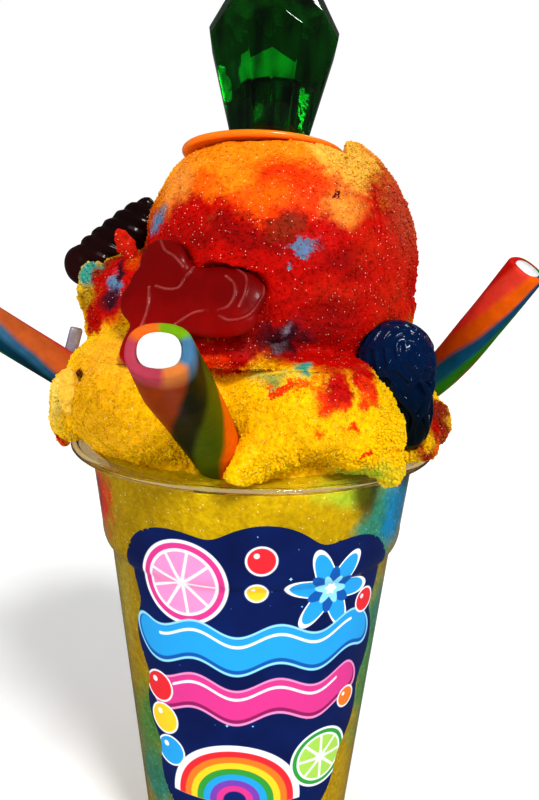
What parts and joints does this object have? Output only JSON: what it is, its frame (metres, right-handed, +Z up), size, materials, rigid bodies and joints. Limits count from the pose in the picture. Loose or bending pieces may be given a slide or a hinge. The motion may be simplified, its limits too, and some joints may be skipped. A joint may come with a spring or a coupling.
{
  "type": "cup of italian ice",
  "caption": "Tall clear plastic cup heaped with red, orange and yellow italian ice, with striped candy ropes, gummy sweets and a green candy gem on top.",
  "frame": {"origin": "centre of the cup's flat base, on the surface it stands on", "axes": "+Z up along the cup's axis; -Y is the front, where the label and the front candy rope are; +X is to the right as seen from the front"},
  "size_m": [0.1589, 0.1444, 0.2432],
  "materials": {
    "cup": "thin clear plastic, glossy",
    "label": "printed vinyl sticker, satin gloss",
    "lower_ice": "granular frozen ice, wet sparkle",
    "top_scoop": "granular frozen ice, wet sparkle",
    "red_gummy": "translucent glossy gelatin",
    "blue_gummy": "translucent glossy gelatin",
    "dark_gummy": "translucent glossy gelatin",
    "rope": "soft extruded candy in coloured stripes, satin",
    "rope_filling": "white fondant filling",
    "gem_base": "moulded orange plastic",
    "gem": "clear green hard candy, faceted"
  },
  "bodies": {
    "root": {"cup": "cup", "label": "label", "lower_ice": "lower_ice", "top_scoop": "top_scoop", "red_gummy": "red_gummy", "blue_gummy": "blue_gummy", "dark_gummy": "dark_gummy", "rope_front": "rope", "rope_front_filling": "rope_filling", "rope_left": "rope", "rope_left_filling": "rope_filling", "rope_right": "rope", "rope_right_filling": "rope_filling", "gem_base": "gem_base", "gem": "gem"}
  },
  "joints": []
}
